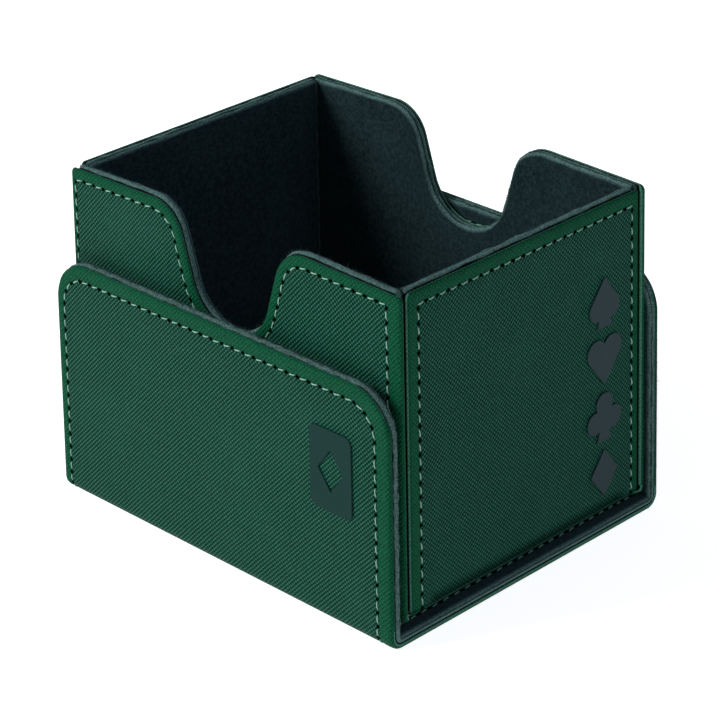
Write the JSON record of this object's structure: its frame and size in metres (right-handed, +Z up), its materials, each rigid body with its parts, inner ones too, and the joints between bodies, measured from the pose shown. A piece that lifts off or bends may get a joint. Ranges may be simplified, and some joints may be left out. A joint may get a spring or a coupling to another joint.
{
  "type": "card deck box",
  "caption": "Open-topped fabric-covered deck box for trading cards, with finger scoops in two walls, parked in its loose wrap lid whose magnetic flaps stand up beside it.",
  "frame": {"origin": "middle of the footprint on the table, under the parked lid's panel", "axes": "+Z up; +X along the two scooped walls, towards the side panel with the suit pips; -Y towards the flap with the card emblem"},
  "size_m": [0.1064, 0.0896, 0.0814],
  "materials": {
    "woven_cover": "coarse woven texture, low sheen",
    "lining": "brushed microfibre",
    "board": "raw grey board",
    "thread": "polyester thread",
    "emblem": "smooth matt rubber print",
    "magnet": "nickel plated"
  },
  "bodies": {
    "lid_panel": {"lid_cover": "woven_cover", "lid_lining": "lining", "lid_board": "board", "lid_stitching": "thread", "front_fold_cover": "woven_cover", "front_fold_lining": "lining", "back_fold_cover": "woven_cover", "back_fold_lining": "lining"},
    "front_flap": {"front_flap_cover": "woven_cover", "front_flap_lining": "lining", "front_flap_board": "board", "front_flap_stitching": "thread", "front_flap_magnets": "magnet", "flap_emblem": "emblem"},
    "back_flap": {"back_flap_cover": "woven_cover", "back_flap_lining": "lining", "back_flap_board": "board", "back_flap_stitching": "thread", "back_flap_magnets": "magnet"},
    "box": {"box_cover": "woven_cover", "box_lining": "lining", "front_wall_board": "board", "back_wall_board": "board", "bottom_board": "board", "box_stitching": "thread", "front_wall_magnets": "magnet", "back_wall_magnets": "magnet", "left_side_cover": "woven_cover", "left_side_lining": "lining", "left_side_board": "board", "left_side_stitching": "thread", "right_side_cover": "woven_cover", "right_side_lining": "lining", "right_side_board": "board", "right_side_stitching": "thread", "side_emblem": "emblem"}
  },
  "joints": [
    {"name": "box_lift", "type": "slide", "parent": "lid_panel", "child": "box", "axis": [0, 0, 1], "range_m": [0, 0.06]},
    {"name": "front_flap_fold", "type": "hinge", "parent": "lid_panel", "child": "front_flap", "pos_m": [0, -0.0428, 0.0018], "axis": [1, 0, 0], "range_deg": [0, 90], "deforming": ["front_fold_cover", "front_fold_lining"]},
    {"name": "back_flap_fold", "type": "hinge", "parent": "lid_panel", "child": "back_flap", "pos_m": [0, 0.0428, 0.0018], "axis": [-1, 0, 0], "range_deg": [0, 90], "deforming": ["back_fold_cover", "back_fold_lining"]}
  ]
}
